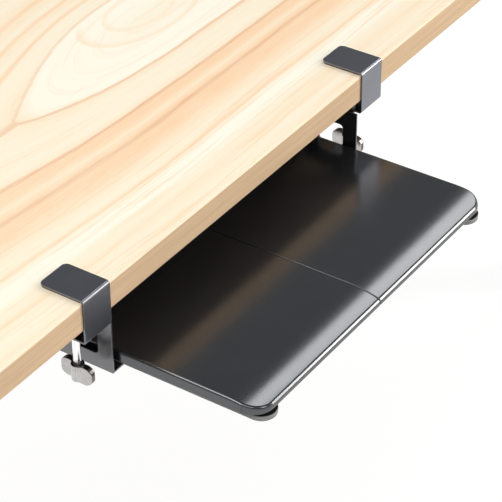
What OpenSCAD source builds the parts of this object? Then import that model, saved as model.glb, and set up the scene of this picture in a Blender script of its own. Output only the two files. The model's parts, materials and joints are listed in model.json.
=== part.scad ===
// Computer desk with a clamped-on sliding keyboard tray.
// Frame: millimetres, +X right, +Y towards the back of the desk, +Z up.
// Origin: on the floor, under the middle of the whole desk with its tray pulled out.

/* [Desk top] */
// Width of the desk top
desk_w = 2000; // [1500:10:2200]
// Depth of the desk top
desk_d = 700; // [600:10:900]
// Height of the working surface above the floor
desk_h = 740; // [680:5:800]
// Thickness of the desk top
top_t = 32.5; // [28:0.5:38]
// Radius along the top's edges
top_edge_r = 2.5; // [1:0.5:5]
// Radius of the top's corners seen from above
top_corner_r = 6; // [3:1:20]

/* [Legs and frame] */
// Width of the square leg tube
leg_w = 50; // [40:2:60]
// Wall of the leg tube
leg_wall = 2; // [1.5:0.5:3]
// Radius inside the leg tube's corners
leg_inner_r = 1; // [0.5:0.5:2]
// Distance from the top's end to a leg
leg_inset_x = 35; // [25:1:60]
// Distance from the top's front and back edges to a leg
leg_inset_y = 75; // [72:1:100]
// Width of the square plate on a leg's upper end
plate_w = 90; // [80:2:100]
// Thickness of that plate
plate_t = 4; // [3:0.5:6]
// Radius of that plate's corners
plate_corner_r = 4; // [2:1:8]
// Distance from the plate's edge to its screw holes
plate_hole_inset = 9; // [7:0.5:10]
// Shank diameter of the wood screws
wood_screw_d = 5; // [4:0.5:6]
// Depth that a wood screw reaches into the top
wood_screw_l = 20; // [14:1:24]
// Head diameter of the wood screws
wood_head_d = 9.5; // [8:0.5:11]
// Head height of the wood screws
wood_head_t = 3; // [2:0.5:4]
// Width of the flat frame rails
rail_w = 40; // [30:1:40]
// Height of the flat frame rails
rail_h = 20; // [15:1:25]
// Wall of the frame rails
rail_wall = 1.5; // [1:0.5:2]
// Diameter of a levelling foot's pad
foot_d = 40; // [30:1:50]
// Height of a levelling foot's pad
foot_t = 9; // [6:0.5:14]
// Height of the upright rim of a levelling foot's pad
foot_rim_t = 3; // [2:0.5:5]
// Chamfer under a levelling foot's pad
foot_chamfer = 1; // [0.5:0.5:1.5]
// Diameter of a levelling foot's stud
foot_stud_d = 10; // [8:1:12]
// Height of the hexagon on a levelling foot
foot_hex_t = 6; // [4:0.5:10]
// Width across flats of that hexagon
foot_hex_af = 17; // [14:1:22]
// Ledge on the pad beside that hexagon
foot_ledge = 2; // [2:0.5:3]
// Thickness of the end plug's rim under a leg
plug_rim_t = 3; // [2:0.5:5]
// Depth that an end plug reaches into its leg
plug_l = 22; // [15:1:40]

/* [Clamps] */
// Width of a clamp
clamp_w = 40.9; // [36:0.1:46]
// Reach of a clamp over the desk top
clamp_reach = 51.5; // [46:0.5:58]
// Room in a clamp from its pad to its lower jaw
clamp_opening = 45.7; // [44:0.1:50]
// Thickness of the clamp sheet
clamp_sheet = 2; // [1.5:0.1:2.5]
// Outer radius of the clamp's two bends
clamp_bend_r = 3; // [2.5:0.5:5]
// Radius of the corners at the clamp's free ends
clamp_corner_r = 6; // [3:0.5:8]
// Thickness of the grip pad under the upper plate
grip_pad_t = 1.5; // [1:0.1:2.5]
// Distance from the clamp's edge to its grip pad
grip_pad_inset = 0.6; // [0.2:0.1:2]

/* [Clamp screws] */
// Distance from the desk's front face to a screw's axis
screw_y = 27; // [25:0.5:30]
// Diameter of the clamp screw
screw_d = 8.5; // [7:0.5:9]
// Distance from the lower jaw down to the wing knob
screw_drop = 47; // [40:1:60]
// Radial clearance of the screw in its nut and pad
screw_fit = 0.06; // [0.03:0.01:0.1]
// Diameter of the screw's tip in its pressure pad
tip_d = 6; // [4:0.5:7]
// Depth of the tip in the pressure pad
tip_l = 3; // [2:0.5:3.5]
// Diameter of the pressure pad
press_d = 27; // [20:1:27]
// Thickness of the pressure pad
press_t = 4.5; // [4:0.1:5.5]
// Chamfer under the pressure pad
press_chamfer = 2; // [1:0.5:3]
// Width across flats of the nut under the jaw
jaw_nut_af = 13.5; // [13:0.5:14.5]
// Height of the nut under the jaw
jaw_nut_t = 6.5; // [5:0.5:8]
// Span of the wing knob
knob_span = 43; // [36:0.5:43.5]
// Height of the knob's hub
knob_h = 19; // [16:0.5:24]
// How far the wings rise above the hub
wing_rise = 1.8; // [1:0.1:3]
// Thickness of a wing
wing_t = 7.2; // [6:0.1:9]
// Sideways offset of each wing from the screw's axis
wing_shift = 2; // [1:0.1:2.5]
// Diameter of the knob's hub
hub_d = 14; // [13:0.5:16]
// Thickness of the knob's closed lower end
knob_floor = 2; // [1:0.5:4]

/* [Side brackets] */
// Gap between the tray's side and a side bracket
bracket_side_gap = 4.8; // [4:0.1:8]
// Gap between a clamp and its side bracket
bracket_gap = 2; // [1:0.1:3]
// Thickness of the bracket sheet
bracket_sheet = 2; // [1.5:0.1:2.5]
// Distance from the desk's front face back to the bracket
bracket_setback = 1.5; // [1:0.1:4]
// Height of the side bracket below the lower jaw
bracket_drop = 64.4; // [60:0.1:75]
// Width of the bracket's two upright legs
bracket_leg_w = 17.5; // [14:0.5:20]
// Height of the bracket's upper bar
bracket_bar_h = 19.8; // [14:0.1:24]
// Height of the channel's outer wall
channel_h = 17.1; // [15:0.1:22]
// Length of the bracket's upper bar
bracket_len = 66.5; // [60:0.5:68]
// Length of the channel behind its rear buffer
channel_tail = 2; // [0:0.5:10]
// Width of the channel's inward flange
channel_flange = 42; // [38:0.5:44]
// Radius in the corners of the bracket's window
window_r = 5; // [2:0.5:6]
// Width of the ear bolted under the lower jaw
ear_w = 13.5; // [13:0.1:14]
// Distance from the bracket's front edge to the ear
ear_front_inset = 6; // [4:0.5:7]
// Distance from the jaw's rear edge to the ear
ear_rear_inset = 2; // [1:0.5:3]
// Distance from the jaw's inner edge to the ear bolts
ear_bolt_x = 5.8; // [5:0.1:6]
// Diameter of the ear bolts
ear_bolt_d = 4; // [3:0.5:4]
// Distance from the desk's front face to the front ear bolt
ear_bolt_front = 12; // [11.5:0.5:14]
// Distance from the desk's front face to the rear ear bolt
ear_bolt_rear = 42; // [38:0.5:43]

/* [Glide liners] */
// Distance from the desk's front face to a liner
liner_start = 24; // [15:1:30]
// Distance from the channel flange's edge to a liner
liner_inset = 1; // [0.5:0.5:3]
// Thickness of the liner under the runner
liner_floor = 0.8; // [0.6:0.1:1.2]
// Thickness of the liner's upright
liner_wall = 3; // [2:0.1:3.2]
// Thickness of the keeper over the runner
keeper_t = 2.2; // [1.5:0.1:2.4]
// Reach of the keeper over the runner
keeper_reach = 8; // [6:0.5:9]
// Running gap on each side of the runner
slide_gap = 0.2; // [0.1:0.05:0.4]
// Diameter of the liner rivets
rivet_d = 3; // [2.5:0.1:3.2]
// Head diameter of the liner rivets
rivet_head_d = 5.4; // [4.5:0.1:5.6]
// Head height of the liner rivets
rivet_head_t = 1; // [0.8:0.1:1.4]
// Number of rivets in a liner
rivet_count = 4; // [3:1:6]

/* [Tray] */
// Width of the tray
tray_w = 436.8; // [420:0.2:440]
// Depth of the tray
tray_d = 280; // [260:1:290]
// Height of the tray from its rim to its surface
tray_h = 12.3; // [11.5:0.1:14]
// How far the pulled-out tray stands out of the desk's front
tray_out = 166; // [150:1:170]
// Travel of the tray from pulled out to pushed in
tray_travel = 166; // [140:1:166]
// Radius of the tray's front corners seen from above
tray_corner_r = 24; // [18:1:40]
// Radius of the tray's rear corners seen from above
tray_rear_r = 8.5; // [5:0.5:12]
// Depth of the rounded-off front edge
nose_run = 38; // [25:1:45]
// Drop of the rounded-off front edge
nose_drop = 6.2; // [4:0.1:7.5]
// Thickness of the tray's surface
skin_t = 2.5; // [2:0.1:3]
// Thickness of the tray's rim
rim_t = 2.2; // [1.8:0.1:3]
// Thickness of the ribs under the tray
rib_t = 1.6; // [1.2:0.1:2.2]
// Distance from the rim's lower edge up to the ribs
rib_inset = 2.6; // [2.4:0.1:3.5]
// Number of ribs each way under a tray half
rib_count = 4; // [3:1:6]
// Width of the seam between the two tray halves
seam = 0.5; // [0.2:0.1:1]
// Width of a joiner plate under the seam, along the tray's depth
joiner_w = 30; // [24:1:40]
// Length of a joiner plate across the seam
joiner_l = 92; // [84:1:120]
// Thickness of a joiner plate
joiner_t = 1.5; // [1:0.1:1.8]
// Radius of a joiner plate's corners
joiner_corner_r = 3; // [1:0.5:6]
// Room beside a joiner plate where it crosses the rims at the seam
joiner_room = 1; // [0.5:0.5:2]
// Distance from the tray's front and back edges to the joiner plates
joiner_inset = 62; // [50:1:75]
// Distance from the seam to the inner joiner screws
joiner_screw_in = 14; // [12:0.5:18]
// Distance from the seam to the outer joiner screws
joiner_screw_out = 36; // [30:0.5:37]
// Diameter of the screws that hold joiners and runners
tray_screw_d = 4; // [3:0.1:4.4]
// Head diameter of those screws
tray_head_d = 7.5; // [6:0.1:8]
// Head height of those screws
tray_head_t = 2; // [1.5:0.1:2.4]
// Diameter of the screw bosses under the tray
boss_d = 11; // [9:0.5:12]
// How far the bosses reach below the ribs
boss_drop = 0.5; // [0.2:0.1:0.8]
// Distance from a screw's end to the tray's surface above it
screw_end_gap = 0.5; // [0.3:0.1:1]

/* [Runners] */
// Distance from the tray's side to a runner
runner_inset = 7.6; // [6.5:0.1:9]
// Width of a runner
runner_w = 32; // [30:0.5:33]
// Height of a runner
runner_h = 6; // [5.2:0.1:7]
// Wall of a runner
runner_wall = 1.8; // [1.5:0.1:2]
// How far a runner stands out in front of the tray
runner_nose = 2; // [0:0.5:4]
// Gap between a runner and the tray's rim
tray_gap = 3.4; // [3.2:0.1:7]
// Distance of the spacers from the runner's middle, towards the seam
spacer_shift = 4.8; // [4:0.1:5.5]
// Diameter of the spacers
spacer_d = 13; // [10:0.5:13.4]
// Distance from the tray's front and back edges to the outer spacers
spacer_inset = 42; // [36:1:60]
// Length of the stop block on a runner
stop_l = 8; // [6:0.5:10]
// Height of the stop block on a runner
stop_h = 2.7; // [2.5:0.1:2.9]
// Thickness of the rear buffer
buffer_t = 5; // [3:0.5:6]
// Working gap at the tray's end stops
stop_gap = 0.3; // [0.2:0.1:0.6]

/* [Hidden] */
$fn = 64;
over = 1;
margin = 5;
hole_fit = 0.15;
plug_fit = 0.2;
bolt_length_past_nut = 1;
nut_t_ratio = 0.8;
bolt_head_t = 2.4;
bolt_head_d = 7.6;
ear_nut_af = 7;
screw_hole_extra = 0.5;
sides = [-1, 1];

// Heights
under_z = desk_h - top_t;
leg_top_z = under_z - plate_t;
leg_bottom_z = foot_t + foot_hex_t + plug_rim_t;
jaw_top_z = desk_h - clamp_opening;
jaw_z = jaw_top_z - clamp_sheet;
bracket_z = jaw_z - bracket_drop;
flange_top_z = bracket_z + bracket_sheet;
liner_top_z = flange_top_z + liner_floor;
runner_z = liner_top_z + slide_gap;
runner_top_z = runner_z + runner_h;
rim_z = runner_top_z + tray_gap;
tray_z = rim_z + tray_h;
skin_z = tray_z - skin_t;
boss_z = rim_z + rib_inset - boss_drop;
screw_end_z = skin_z - screw_end_gap;
keeper_z = runner_top_z + slide_gap;
knob_top_z = jaw_z - screw_drop;
knob_z = knob_top_z - knob_h;
press_z = under_z - press_t;

// Front to back: the desk's front face lies at front_y
reach_out = tray_out + runner_nose;
front_y = (reach_out - desk_d) / 2;
back_y = front_y + desk_d;
tray_y = front_y - tray_out;
runner_y = tray_y - runner_nose;
screw_at_y = front_y + screw_y;
bracket_y = front_y + bracket_setback;
liner_y = front_y + liner_start;
runner_end_y = runner_y + tray_d;
keeper_end_y = runner_end_y - stop_l - 2 * stop_gap;
buffer_y = runner_end_y + tray_travel + stop_gap;
channel_l = buffer_y + buffer_t + channel_tail - bracket_y;
liner_end_y = buffer_y - stop_gap;

// Sideways, given for the right-hand side
leg_x = desk_w / 2 - leg_inset_x - leg_w / 2;
bracket_in_x = tray_w / 2 + bracket_side_gap;
bracket_out_x = bracket_in_x + bracket_sheet;
clamp_in_x = bracket_out_x + bracket_gap;
clamp_x = clamp_in_x + clamp_w / 2;
ear_bolt_at_x = clamp_in_x + ear_bolt_x;
runner_out_x = tray_w / 2 - runner_inset;
runner_x = runner_out_x - runner_w / 2;
liner_web_x = runner_out_x + slide_gap;
spacer_x = runner_x - spacer_shift;
leg_ys = [front_y + leg_inset_y + leg_w / 2, back_y - leg_inset_y - leg_w / 2];
spacer_ys = [tray_y + spacer_inset, tray_y + tray_d / 2, tray_y + tray_d - spacer_inset];
joiner_ys = [tray_y + joiner_inset, tray_y + tray_d - joiner_inset];
ear_bolt_ys = [front_y + ear_bolt_front, front_y + ear_bolt_rear];
rivet_x = (liner_web_x + liner_wall + bracket_in_x) / 2;
rivet_pitch = (liner_end_y - liner_y) / rivet_count;
rivet_ys = [for (i = [0 : rivet_count - 1]) liner_y + (i + 0.5) * rivet_pitch];
plate_hole_off = plate_w / 2 - plate_hole_inset;
nose_r = (nose_run * nose_run + nose_drop * nose_drop) / (2 * nose_drop);
ear_nut_t = nut_t_ratio * ear_bolt_d;

// ---- Shapes that repeat ----

// Draws a profile of (Y, Z) along X from x to x + length
module along_x(x, length) {
    translate([x, 0, 0]) rotate([90, 0, 90]) linear_extrude(length) children();
}

// Draws a profile of (X, Z) along Y from y to y + length
module along_y(y, length) {
    translate([0, y + length, 0]) rotate([90, 0, 0]) linear_extrude(length) children();
}

module rect(x0, y0, x1, y1) {
    translate([x0, y0]) square([x1 - x0, y1 - y0]);
}

// Rectangle with four round corners
module round_rect(x0, y0, x1, y1, r) {
    rect(x0 + r, y0, x1 - r, y1);
    rect(x0, y0 + r, x1, y1 - r);
    for (x = [x0 + r, x1 - r]) for (y = [y0 + r, y1 - r]) translate([x, y]) circle(r);
}

// Rectangle with the two corners at low x rounded
module round_front(x0, y0, x1, y1, r) {
    rect(x0 + r, y0, x1, y1);
    rect(x0, y0 + r, x1, y1 - r);
    for (y = [y0 + r, y1 - r]) translate([x0 + r, y]) circle(r);
}

// Rectangle with the two corners at high y rounded
module round_back(x0, y0, x1, y1, r) {
    rect(x0, y0, x1, y1 - r);
    rect(x0 + r, y0, x1 - r, y1);
    for (x = [x0 + r, x1 - r]) translate([x, y1 - r]) circle(r);
}

module rod(x, y, z, length, d) {
    translate([x, y, z]) cylinder(h = length, d = d);
}

module hex_prism(x, y, z, height, across_flats) {
    translate([x, y, z]) cylinder(h = height, r = across_flats / sqrt(3), $fn = 6);
}

// Pan-head screw whose head hangs under z and whose shank rises above it
module screw_up(x, y, z, shank, d, head_d, head_t) {
    rod(x, y, z, shank, d);
    rod(x, y, z - head_t, head_t, head_d);
}

// Cutter for a hole right through a piece that lies from z to z + thickness
module through(x, y, z, thickness, d) {
    rod(x, y, z - over, thickness + 2 * over, d);
}

// ---- Desk top, legs and frame ----

module desk_top() {
    color("burlywood") difference() {
        intersection() {
            along_x(-desk_w / 2, desk_w)
                round_rect(front_y, under_z, back_y, desk_h, top_edge_r);
            along_y(front_y, desk_d)
                round_rect(-desk_w / 2, under_z, desk_w / 2, desk_h, top_edge_r);
            translate([0, 0, under_z]) linear_extrude(top_t)
                round_rect(-desk_w / 2, front_y, desk_w / 2, back_y, top_corner_r);
        }
        at_plate_holes()
            rod(0, 0, under_z - over, wood_screw_l + 2 * over, wood_screw_d + 2 * hole_fit);
    }
}

module at_plate_holes() {
    for (side = sides) for (y = leg_ys) for (dx = sides) for (dy = sides)
        translate([side * leg_x + dx * plate_hole_off, y + dy * plate_hole_off, 0]) children();
}

module leg(x, y) {
    half = leg_w / 2;
    hollow = half - leg_wall;
    color([0.09, 0.09, 0.10]) translate([x, y, leg_bottom_z]) linear_extrude(leg_top_z - leg_bottom_z)
        difference() {
            round_rect(-half, -half, half, half, leg_wall + leg_inner_r);
            round_rect(-hollow, -hollow, hollow, hollow, leg_inner_r);
        }
}

module leg_plates() {
    half = plate_w / 2;
    color([0.09, 0.09, 0.10]) difference() {
        for (side = sides) for (y = leg_ys)
            translate([side * leg_x, y, leg_top_z]) linear_extrude(plate_t)
                round_rect(-half, -half, half, half, plate_corner_r);
        at_plate_holes() through(0, 0, leg_top_z, plate_t, wood_screw_d + 2 * hole_fit);
    }
}

module leg_screws() {
    color("silver") at_plate_holes()
        screw_up(0, 0, leg_top_z, plate_t + wood_screw_l, wood_screw_d, wood_head_d, wood_head_t);
}

module leg_end_plugs() {
    half = leg_w / 2;
    inner = half - leg_wall - plug_fit;
    color([0.06, 0.06, 0.06]) for (side = sides) for (y = leg_ys)
        translate([side * leg_x, y, 0]) difference() {
            union() {
                translate([0, 0, leg_bottom_z - plug_rim_t]) linear_extrude(plug_rim_t)
                    round_rect(-half, -half, half, half, leg_wall + leg_inner_r);
                translate([0, 0, leg_bottom_z]) linear_extrude(plug_l)
                    round_rect(-inner, -inner, inner, inner, 2 * leg_inner_r);
            }
            through(0, 0, leg_bottom_z - plug_rim_t, plug_rim_t + plug_l, foot_stud_d + 2 * hole_fit);
        }
}

module levelling_feet() {
    color([0.1, 0.1, 0.1]) for (side = sides) for (y = leg_ys)
        translate([side * leg_x, y, 0]) {
            rotate_extrude() polygon([
                [0, 0], [foot_d / 2 - foot_chamfer, 0], [foot_d / 2, foot_chamfer],
                [foot_d / 2, foot_rim_t], [foot_hex_af / 2 + foot_ledge, foot_t], [0, foot_t]
            ]);
            hex_prism(0, 0, foot_t, foot_hex_t, foot_hex_af);
            rod(0, 0, foot_t, foot_hex_t + plug_rim_t + plug_l, foot_stud_d);
        }
}

// Hollow rail along X between two legs, at the legs' upper ends
module cross_rail(y) {
    length = 2 * leg_x - leg_w;
    color([0.09, 0.09, 0.10]) along_x(-length / 2, length) difference() {
        rect(y - rail_w / 2, leg_top_z - rail_h, y + rail_w / 2, leg_top_z);
        rect(y - rail_w / 2 + rail_wall, leg_top_z - rail_h + rail_wall,
            y + rail_w / 2 - rail_wall, leg_top_z - rail_wall);
    }
}

// Hollow rail along Y between a front and a rear leg
module side_rail(x) {
    y0 = leg_ys[0] + leg_w / 2;
    length = leg_ys[1] - leg_w / 2 - y0;
    color([0.09, 0.09, 0.10]) along_y(y0, length) difference() {
        rect(x - rail_w / 2, leg_top_z - rail_h, x + rail_w / 2, leg_top_z);
        rect(x - rail_w / 2 + rail_wall, leg_top_z - rail_h + rail_wall,
            x + rail_w / 2 - rail_wall, leg_top_z - rail_wall);
    }
}

// ---- Clamps, drawn for the right-hand side ----

module clamp() {
    outer_top = desk_h + grip_pad_t + clamp_sheet;
    color([0.27, 0.28, 0.31]) difference() {
        intersection() {
            along_x(clamp_in_x, clamp_w) difference() {
                round_front(front_y - clamp_sheet, jaw_z, front_y + clamp_reach, outer_top, clamp_bend_r);
                round_front(front_y, jaw_top_z, front_y + clamp_reach + over, outer_top - clamp_sheet,
                    clamp_bend_r - clamp_sheet);
            }
            translate([0, 0, jaw_z - over]) linear_extrude(outer_top - jaw_z + 2 * over)
                round_back(clamp_in_x, front_y - clamp_sheet, clamp_in_x + clamp_w,
                    front_y + clamp_reach, clamp_corner_r);
        }
        through(clamp_x, screw_at_y, jaw_z, clamp_sheet, screw_d + 2 * screw_hole_extra);
        for (y = ear_bolt_ys) through(ear_bolt_at_x, y, jaw_z, clamp_sheet, ear_bolt_d + 2 * hole_fit);
    }
}

module grip_pad() {
    color([0.05, 0.05, 0.05]) translate([0, 0, desk_h]) linear_extrude(grip_pad_t)
        round_back(clamp_in_x + grip_pad_inset, front_y + clamp_bend_r, clamp_in_x + clamp_w - grip_pad_inset,
            front_y + clamp_reach - grip_pad_inset, clamp_corner_r - grip_pad_inset);
}

module jaw_nut() {
    color("silver") difference() {
        hex_prism(clamp_x, screw_at_y, jaw_z - jaw_nut_t, jaw_nut_t, jaw_nut_af);
        through(clamp_x, screw_at_y, jaw_z - jaw_nut_t, jaw_nut_t, screw_d + 2 * screw_fit);
    }
}

module pressure_pad() {
    color([0.08, 0.08, 0.08]) translate([clamp_x, screw_at_y, press_z]) difference() {
        rotate_extrude() polygon([
            [0, 0], [press_d / 2 - press_chamfer, 0], [press_d / 2, press_chamfer],
            [press_d / 2, press_t], [0, press_t]
        ]);
        rod(0, 0, -over, tip_l + over + screw_fit, tip_d + 2 * screw_fit);
    }
}

module clamp_screw() {
    shoulder_z = press_z - screw_fit;
    bottom_z = knob_z + knob_floor;
    color([0.93, 0.93, 0.94]) {
        rod(clamp_x, screw_at_y, bottom_z, shoulder_z - bottom_z, screw_d);
        rod(clamp_x, screw_at_y, shoulder_z, tip_l + screw_fit, tip_d);
    }
}

// Two offset wings round a hub; each wing ends in a full round in the side view and in plan
module wing_knob() {
    lobe_r = (knob_h + wing_rise) / 2;
    lobe_y = knob_span / 2 - lobe_r;
    tip_r = wing_t / 2;
    tip_y = knob_span / 2 - tip_r;
    color([0.72, 0.71, 0.69]) translate([clamp_x, screw_at_y, 0]) difference() {
        union() {
            intersection() {
                along_x(-knob_span, 2 * knob_span) {
                    rect(-lobe_y, knob_z, lobe_y, knob_top_z);
                    for (side = sides) translate([side * lobe_y, knob_z + lobe_r]) circle(lobe_r);
                }
                translate([0, 0, knob_z - over]) linear_extrude(2 * lobe_r + 2 * over)
                    for (side = sides) {
                        translate([side * wing_shift, side * tip_y / 2]) square([wing_t, tip_y], center = true);
                        translate([side * wing_shift, side * tip_y]) circle(tip_r);
                    }
            }
            rod(0, 0, knob_z, knob_h, hub_d);
        }
        rod(0, 0, knob_z + knob_floor, knob_h, screw_d + 2 * hole_fit);
    }
}

// ---- Side brackets and glide liners, drawn for the right-hand side ----

module bracket_outline() {
    window_y0 = bracket_y + bracket_leg_w;
    window_y1 = bracket_y + bracket_len - bracket_leg_w;
    difference() {
        union() {
            rect(bracket_y, bracket_z, bracket_y + bracket_len, jaw_z);
            rect(bracket_y, bracket_z, bracket_y + channel_l, bracket_z + channel_h);
        }
        round_rect(window_y0, bracket_z + channel_h, window_y1, jaw_z - bracket_bar_h, window_r);
    }
}

module side_bracket() {
    ear_y0 = bracket_y + ear_front_inset;
    ear_y1 = front_y + clamp_reach - ear_rear_inset;
    color([0.2, 0.2, 0.21]) difference() {
        union() {
            along_x(bracket_in_x, bracket_sheet) bracket_outline();
            translate([bracket_out_x - channel_flange, bracket_y, bracket_z])
                cube([channel_flange, channel_l, bracket_sheet]);
            translate([bracket_in_x, ear_y0, jaw_z - bracket_sheet])
                cube([bracket_sheet + ear_w, ear_y1 - ear_y0, bracket_sheet]);
        }
        for (y = ear_bolt_ys)
            through(ear_bolt_at_x, y, jaw_z - bracket_sheet, bracket_sheet, ear_bolt_d + 2 * hole_fit);
        for (y = rivet_ys) through(rivet_x, y, bracket_z, bracket_sheet, rivet_d + 2 * hole_fit);
    }
}

module glide_liner() {
    floor_in_x = bracket_out_x - channel_flange + liner_inset;
    web_out_x = liner_web_x + liner_wall;
    color([0.05, 0.05, 0.055]) difference() {
        union() {
            along_y(liner_y, liner_end_y - liner_y) {
                rect(floor_in_x, flange_top_z, bracket_in_x - slide_gap, liner_top_z);
                rect(liner_web_x, flange_top_z, web_out_x, keeper_z);
            }
            along_y(liner_y, keeper_end_y - liner_y) {
                rect(runner_out_x - keeper_reach, keeper_z, web_out_x, keeper_z + keeper_t);
                rect(liner_web_x, runner_z, web_out_x, keeper_z + keeper_t);
            }
        }
        for (y = rivet_ys) through(rivet_x, y, flange_top_z, liner_floor, rivet_d + 2 * hole_fit);
    }
}

module liner_rivets() {
    color("silver") for (side = sides) for (y = rivet_ys) {
        x = side * rivet_x;
        rod(x, y, bracket_z, bracket_sheet + liner_floor, rivet_d);
        rod(x, y, liner_top_z, rivet_head_t, rivet_head_d);
        rod(x, y, bracket_z - rivet_head_t, rivet_head_t, rivet_head_d);
    }
}

module bracket_bolts() {
    grip = bracket_sheet + clamp_sheet + ear_nut_t + bolt_length_past_nut;
    color("silver") for (side = sides) for (y = ear_bolt_ys)
        screw_up(side * ear_bolt_at_x, y, jaw_z - bracket_sheet, grip, ear_bolt_d, bolt_head_d, bolt_head_t);
}

module bracket_nuts() {
    color("silver") for (side = sides) for (y = ear_bolt_ys) difference() {
        x = side * ear_bolt_at_x;
        hex_prism(x, y, jaw_top_z, ear_nut_t, ear_nut_af);
        through(x, y, jaw_top_z, ear_nut_t, ear_bolt_d + 2 * hole_fit);
    }
}

module rear_buffers() {
    color([0.05, 0.05, 0.05]) for (side = sides) mirror([side < 0 ? 1 : 0, 0, 0])
        translate([runner_x - runner_w / 4, buffer_y, flange_top_z])
            cube([runner_w / 2, buffer_t, runner_top_z - flange_top_z]);
}

// ---- Tray, drawn for the right-hand half ----

// Side view of the tray above z0, lowered by drop, running past both ends of the tray
module tray_profile(drop, z0) {
    nose_y = tray_y + nose_run;
    rect(nose_y, z0, tray_y + tray_d + margin, tray_z - drop);
    intersection() {
        rect(tray_y - margin, z0, nose_y, tray_z + margin);
        translate([nose_y, tray_z - nose_r]) circle(nose_r - drop, $fn = 256);
    }
}

// Plan of one tray half from x0 to the tray's edge, set in by inset, with its two outer corners round
module tray_plan(x0, inset) {
    front_r = tray_corner_r - inset;
    x1 = tray_w / 2 - inset;
    y0 = tray_y + inset;
    y1 = tray_y + tray_d - inset;
    rect(x0, y0, x1 - front_r, y1);
    rect(x0, y0 + front_r, x1, y1 - tray_rear_r);
    rect(x0, y0 + front_r, x1 - tray_rear_r, y1);
    translate([x1 - front_r, y0 + front_r]) circle(front_r, $fn = 128);
    translate([x1 - tray_rear_r, y1 - tray_rear_r]) circle(tray_rear_r);
}

module tray_half() {
    x0 = seam / 2;
    wall_x = x0 + rim_t;
    color([0.16, 0.16, 0.17]) difference() {
        union() {
            difference() {
                intersection() {
                    translate([0, 0, rim_z]) linear_extrude(2 * tray_h) tray_plan(x0, 0);
                    along_x(0, tray_w) tray_profile(0, rim_z - margin);
                }
                intersection() {
                    translate([0, 0, rim_z - margin]) linear_extrude(2 * tray_h) tray_plan(wall_x, rim_t);
                    along_x(0, tray_w) tray_profile(skin_t, rim_z - 2 * margin);
                }
            }
            tray_ribs(wall_x);
            for (y = spacer_ys) boss(spacer_x, y);
            for (y = joiner_ys) for (x = [joiner_screw_in, joiner_screw_out]) boss(x, y);
        }
        for (y = spacer_ys) pilot_hole(spacer_x, y);
        for (y = joiner_ys) for (x = [joiner_screw_in, joiner_screw_out]) pilot_hole(x, y);
        for (y = joiner_ys) translate([x0 - over, y - joiner_w / 2 - joiner_room, rim_z - over])
            cube([rim_t + 2 * over, joiner_w + 2 * joiner_room, boss_z - rim_z + over]);
    }
}

// Ribs under the surface, kept inside the tray's own outline
module tray_ribs(wall_x) {
    rib_z = rim_z + rib_inset;
    pitch_x = (tray_w / 2 - wall_x) / (rib_count + 1);
    pitch_y = (tray_d - nose_run) / (rib_count + 1);
    rib_xs = [for (i = [1 : rib_count]) wall_x + i * pitch_x];
    rib_ys = [for (i = [1 : rib_count]) tray_y + nose_run + i * pitch_y];
    intersection() {
        translate([0, 0, rib_z]) linear_extrude(tray_h) {
            for (x = rib_xs)
                rect(x - rib_t / 2, tray_y + rim_t / 2, x + rib_t / 2, tray_y + tray_d - rim_t / 2);
            for (y = rib_ys)
                rect(wall_x - rim_t / 2, y - rib_t / 2, tray_w / 2 - rim_t / 2, y + rib_t / 2);
        }
        translate([0, 0, rim_z]) linear_extrude(2 * tray_h) tray_plan(seam / 2, rim_t / 2);
        along_x(0, tray_w) tray_profile(skin_t / 2, rim_z - margin);
    }
}

module boss(x, y) {
    rod(x, y, boss_z, skin_z - boss_z + skin_t / 2, boss_d);
}

module pilot_hole(x, y) {
    rod(x, y, boss_z - over, skin_z - boss_z + over, tray_screw_d + 2 * hole_fit);
}

module joiner_plate(y) {
    color([0.55, 0.55, 0.56]) translate([0, 0, boss_z - joiner_t]) linear_extrude(joiner_t)
        difference() {
            round_rect(-joiner_l / 2, y - joiner_w / 2, joiner_l / 2, y + joiner_w / 2, joiner_corner_r);
            for (side = sides) for (x = [joiner_screw_in, joiner_screw_out])
                translate([side * x, y]) circle(d = tray_screw_d + 2 * hole_fit);
        }
}

module joiner_screws() {
    under = boss_z - joiner_t;
    color("silver") for (side = sides) for (y = joiner_ys) for (x = [joiner_screw_in, joiner_screw_out])
        screw_up(side * x, y, under, screw_end_z - under, tray_screw_d, tray_head_d, tray_head_t);
}

// ---- Runners, drawn for the right-hand side ----

// Runner outline in plan, set in by inset, with a full-round front end
module runner_plan(inset) {
    r = runner_w / 2;
    translate([runner_x, runner_y + r]) circle(r - inset, $fn = 128);
    rect(runner_x - r + inset, runner_y + r, runner_x + r - inset, runner_end_y - inset);
}

module runner() {
    color([0.6, 0.6, 0.58]) difference() {
        translate([0, 0, runner_z]) linear_extrude(runner_h) runner_plan(0);
        translate([0, 0, runner_z - over]) linear_extrude(runner_h - runner_wall + over)
            runner_plan(runner_wall);
        for (y = spacer_ys)
            through(spacer_x, y, runner_top_z - runner_wall, runner_wall, tray_screw_d + 2 * hole_fit);
    }
}

module runner_spacers() {
    height = boss_z - runner_top_z;
    color([0.08, 0.08, 0.08]) for (side = sides) for (y = spacer_ys)
        translate([side * spacer_x, y, runner_top_z]) difference() {
            cylinder(h = height, d = spacer_d);
            through(0, 0, 0, height, tray_screw_d + 2 * hole_fit);
        }
}

module runner_screws() {
    under = runner_top_z - runner_wall;
    color("silver") for (side = sides) for (y = spacer_ys)
        screw_up(side * spacer_x, y, under, screw_end_z - under, tray_screw_d, tray_head_d, tray_head_t);
}

module runner_stops() {
    length = keeper_reach - 2 * slide_gap;
    color([0.05, 0.05, 0.05]) for (side = sides) mirror([side < 0 ? 1 : 0, 0, 0])
        translate([runner_out_x - keeper_reach, runner_end_y - stop_l - stop_gap, runner_top_z])
            cube([length, stop_l, stop_h]);
}

module on_left() {
    mirror([1, 0, 0]) children();
}

module to_left() {
    translate([-2 * clamp_x, 0, 0]) children();
}

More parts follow.
